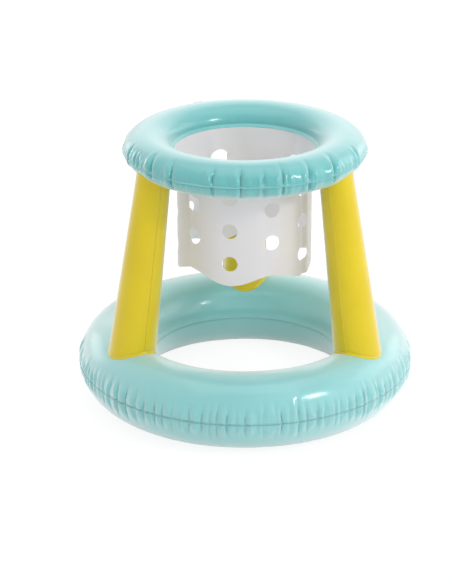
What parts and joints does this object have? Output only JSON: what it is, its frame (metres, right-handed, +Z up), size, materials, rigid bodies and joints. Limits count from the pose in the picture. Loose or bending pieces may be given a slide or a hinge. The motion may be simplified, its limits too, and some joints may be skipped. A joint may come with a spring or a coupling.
{
  "type": "inflatable floating basketball hoop",
  "caption": "Inflatable pool basketball hoop: a floating base ring, leaning legs, a hoop ring and a punched vinyl net, with push-in air valves.",
  "frame": {"origin": "on the floor, at the middle of the base ring", "axes": "+Z up through the hoop; the back leg stands at +Y and the net's front faces -Y"},
  "size_m": [0.67, 0.67, 0.55],
  "materials": {
    "mint_film": "glossy pale mint PVC film",
    "yellow_film": "glossy yellow PVC film",
    "white_vinyl": "satin white vinyl sheet",
    "valve_plastic": "milky soft moulded PVC"
  },
  "bodies": {
    "inflated_toy": {"base_ring_upper_panel": "mint_film", "base_ring_lower_panel": "mint_film", "hoop_ring_upper_panel": "mint_film", "hoop_ring_lower_panel": "mint_film", "back_leg_outer_panel": "yellow_film", "back_leg_inner_panel": "yellow_film", "back_leg_foot_disc": "yellow_film", "back_leg_head_disc": "yellow_film", "left_leg_outer_panel": "yellow_film", "left_leg_inner_panel": "yellow_film", "left_leg_foot_disc": "yellow_film", "left_leg_head_disc": "yellow_film", "right_leg_outer_panel": "yellow_film", "right_leg_inner_panel": "yellow_film", "right_leg_foot_disc": "yellow_film", "right_leg_head_disc": "yellow_film", "net": "white_vinyl", "base_valve_flange": "valve_plastic", "hoop_valve_flange": "valve_plastic"},
    "base_stem": {"base_valve_stem": "valve_plastic"},
    "base_stopper": {"base_valve_stopper": "valve_plastic"},
    "base_flap": {"base_valve_flap": "valve_plastic"},
    "hoop_stem": {"hoop_valve_stem": "valve_plastic"},
    "hoop_stopper": {"hoop_valve_stopper": "valve_plastic"},
    "hoop_flap": {"hoop_valve_flap": "valve_plastic"}
  },
  "joints": [
    {"name": "base_stem_pull", "type": "slide", "parent": "inflated_toy", "child": "base_stem", "axis": [0.3527, 0.7152, 0.6034], "range_m": [0, 0.009]},
    {"name": "base_stopper_hinge", "type": "hinge", "parent": "base_stem", "child": "base_stopper", "pos_m": [0.13095, 0.28861, 0.11993], "axis": [-0.2669, -0.5412, 0.7974], "range_deg": [0, 150]},
    {"name": "base_flap_hinge", "type": "hinge", "parent": "base_stem", "child": "base_flap", "pos_m": [0.1383, 0.27027, 0.10995], "axis": [-0.2669, -0.5412, 0.7974], "range_deg": [0, 60], "stiffness_Nm_per_rad": 0.00002, "springref_deg": -17.19},
    {"name": "hoop_stem_pull", "type": "slide", "parent": "inflated_toy", "child": "hoop_stem", "axis": [-0.3117, 0.6321, 0.7094], "range_m": [0, 0.009]},
    {"name": "hoop_stopper_hinge", "type": "hinge", "parent": "hoop_stem", "child": "hoop_stopper", "pos_m": [-0.10952, 0.19902, 0.53856], "axis": [0.3138, -0.6363, 0.7048], "range_deg": [0, 150]},
    {"name": "hoop_flap_hinge", "type": "hinge", "parent": "hoop_stem", "child": "hoop_flap", "pos_m": [-0.09118, 0.19506, 0.52682], "axis": [0.3138, -0.6363, 0.7048], "range_deg": [0, 60], "stiffness_Nm_per_rad": 0.00002, "springref_deg": -17.19}
  ]
}
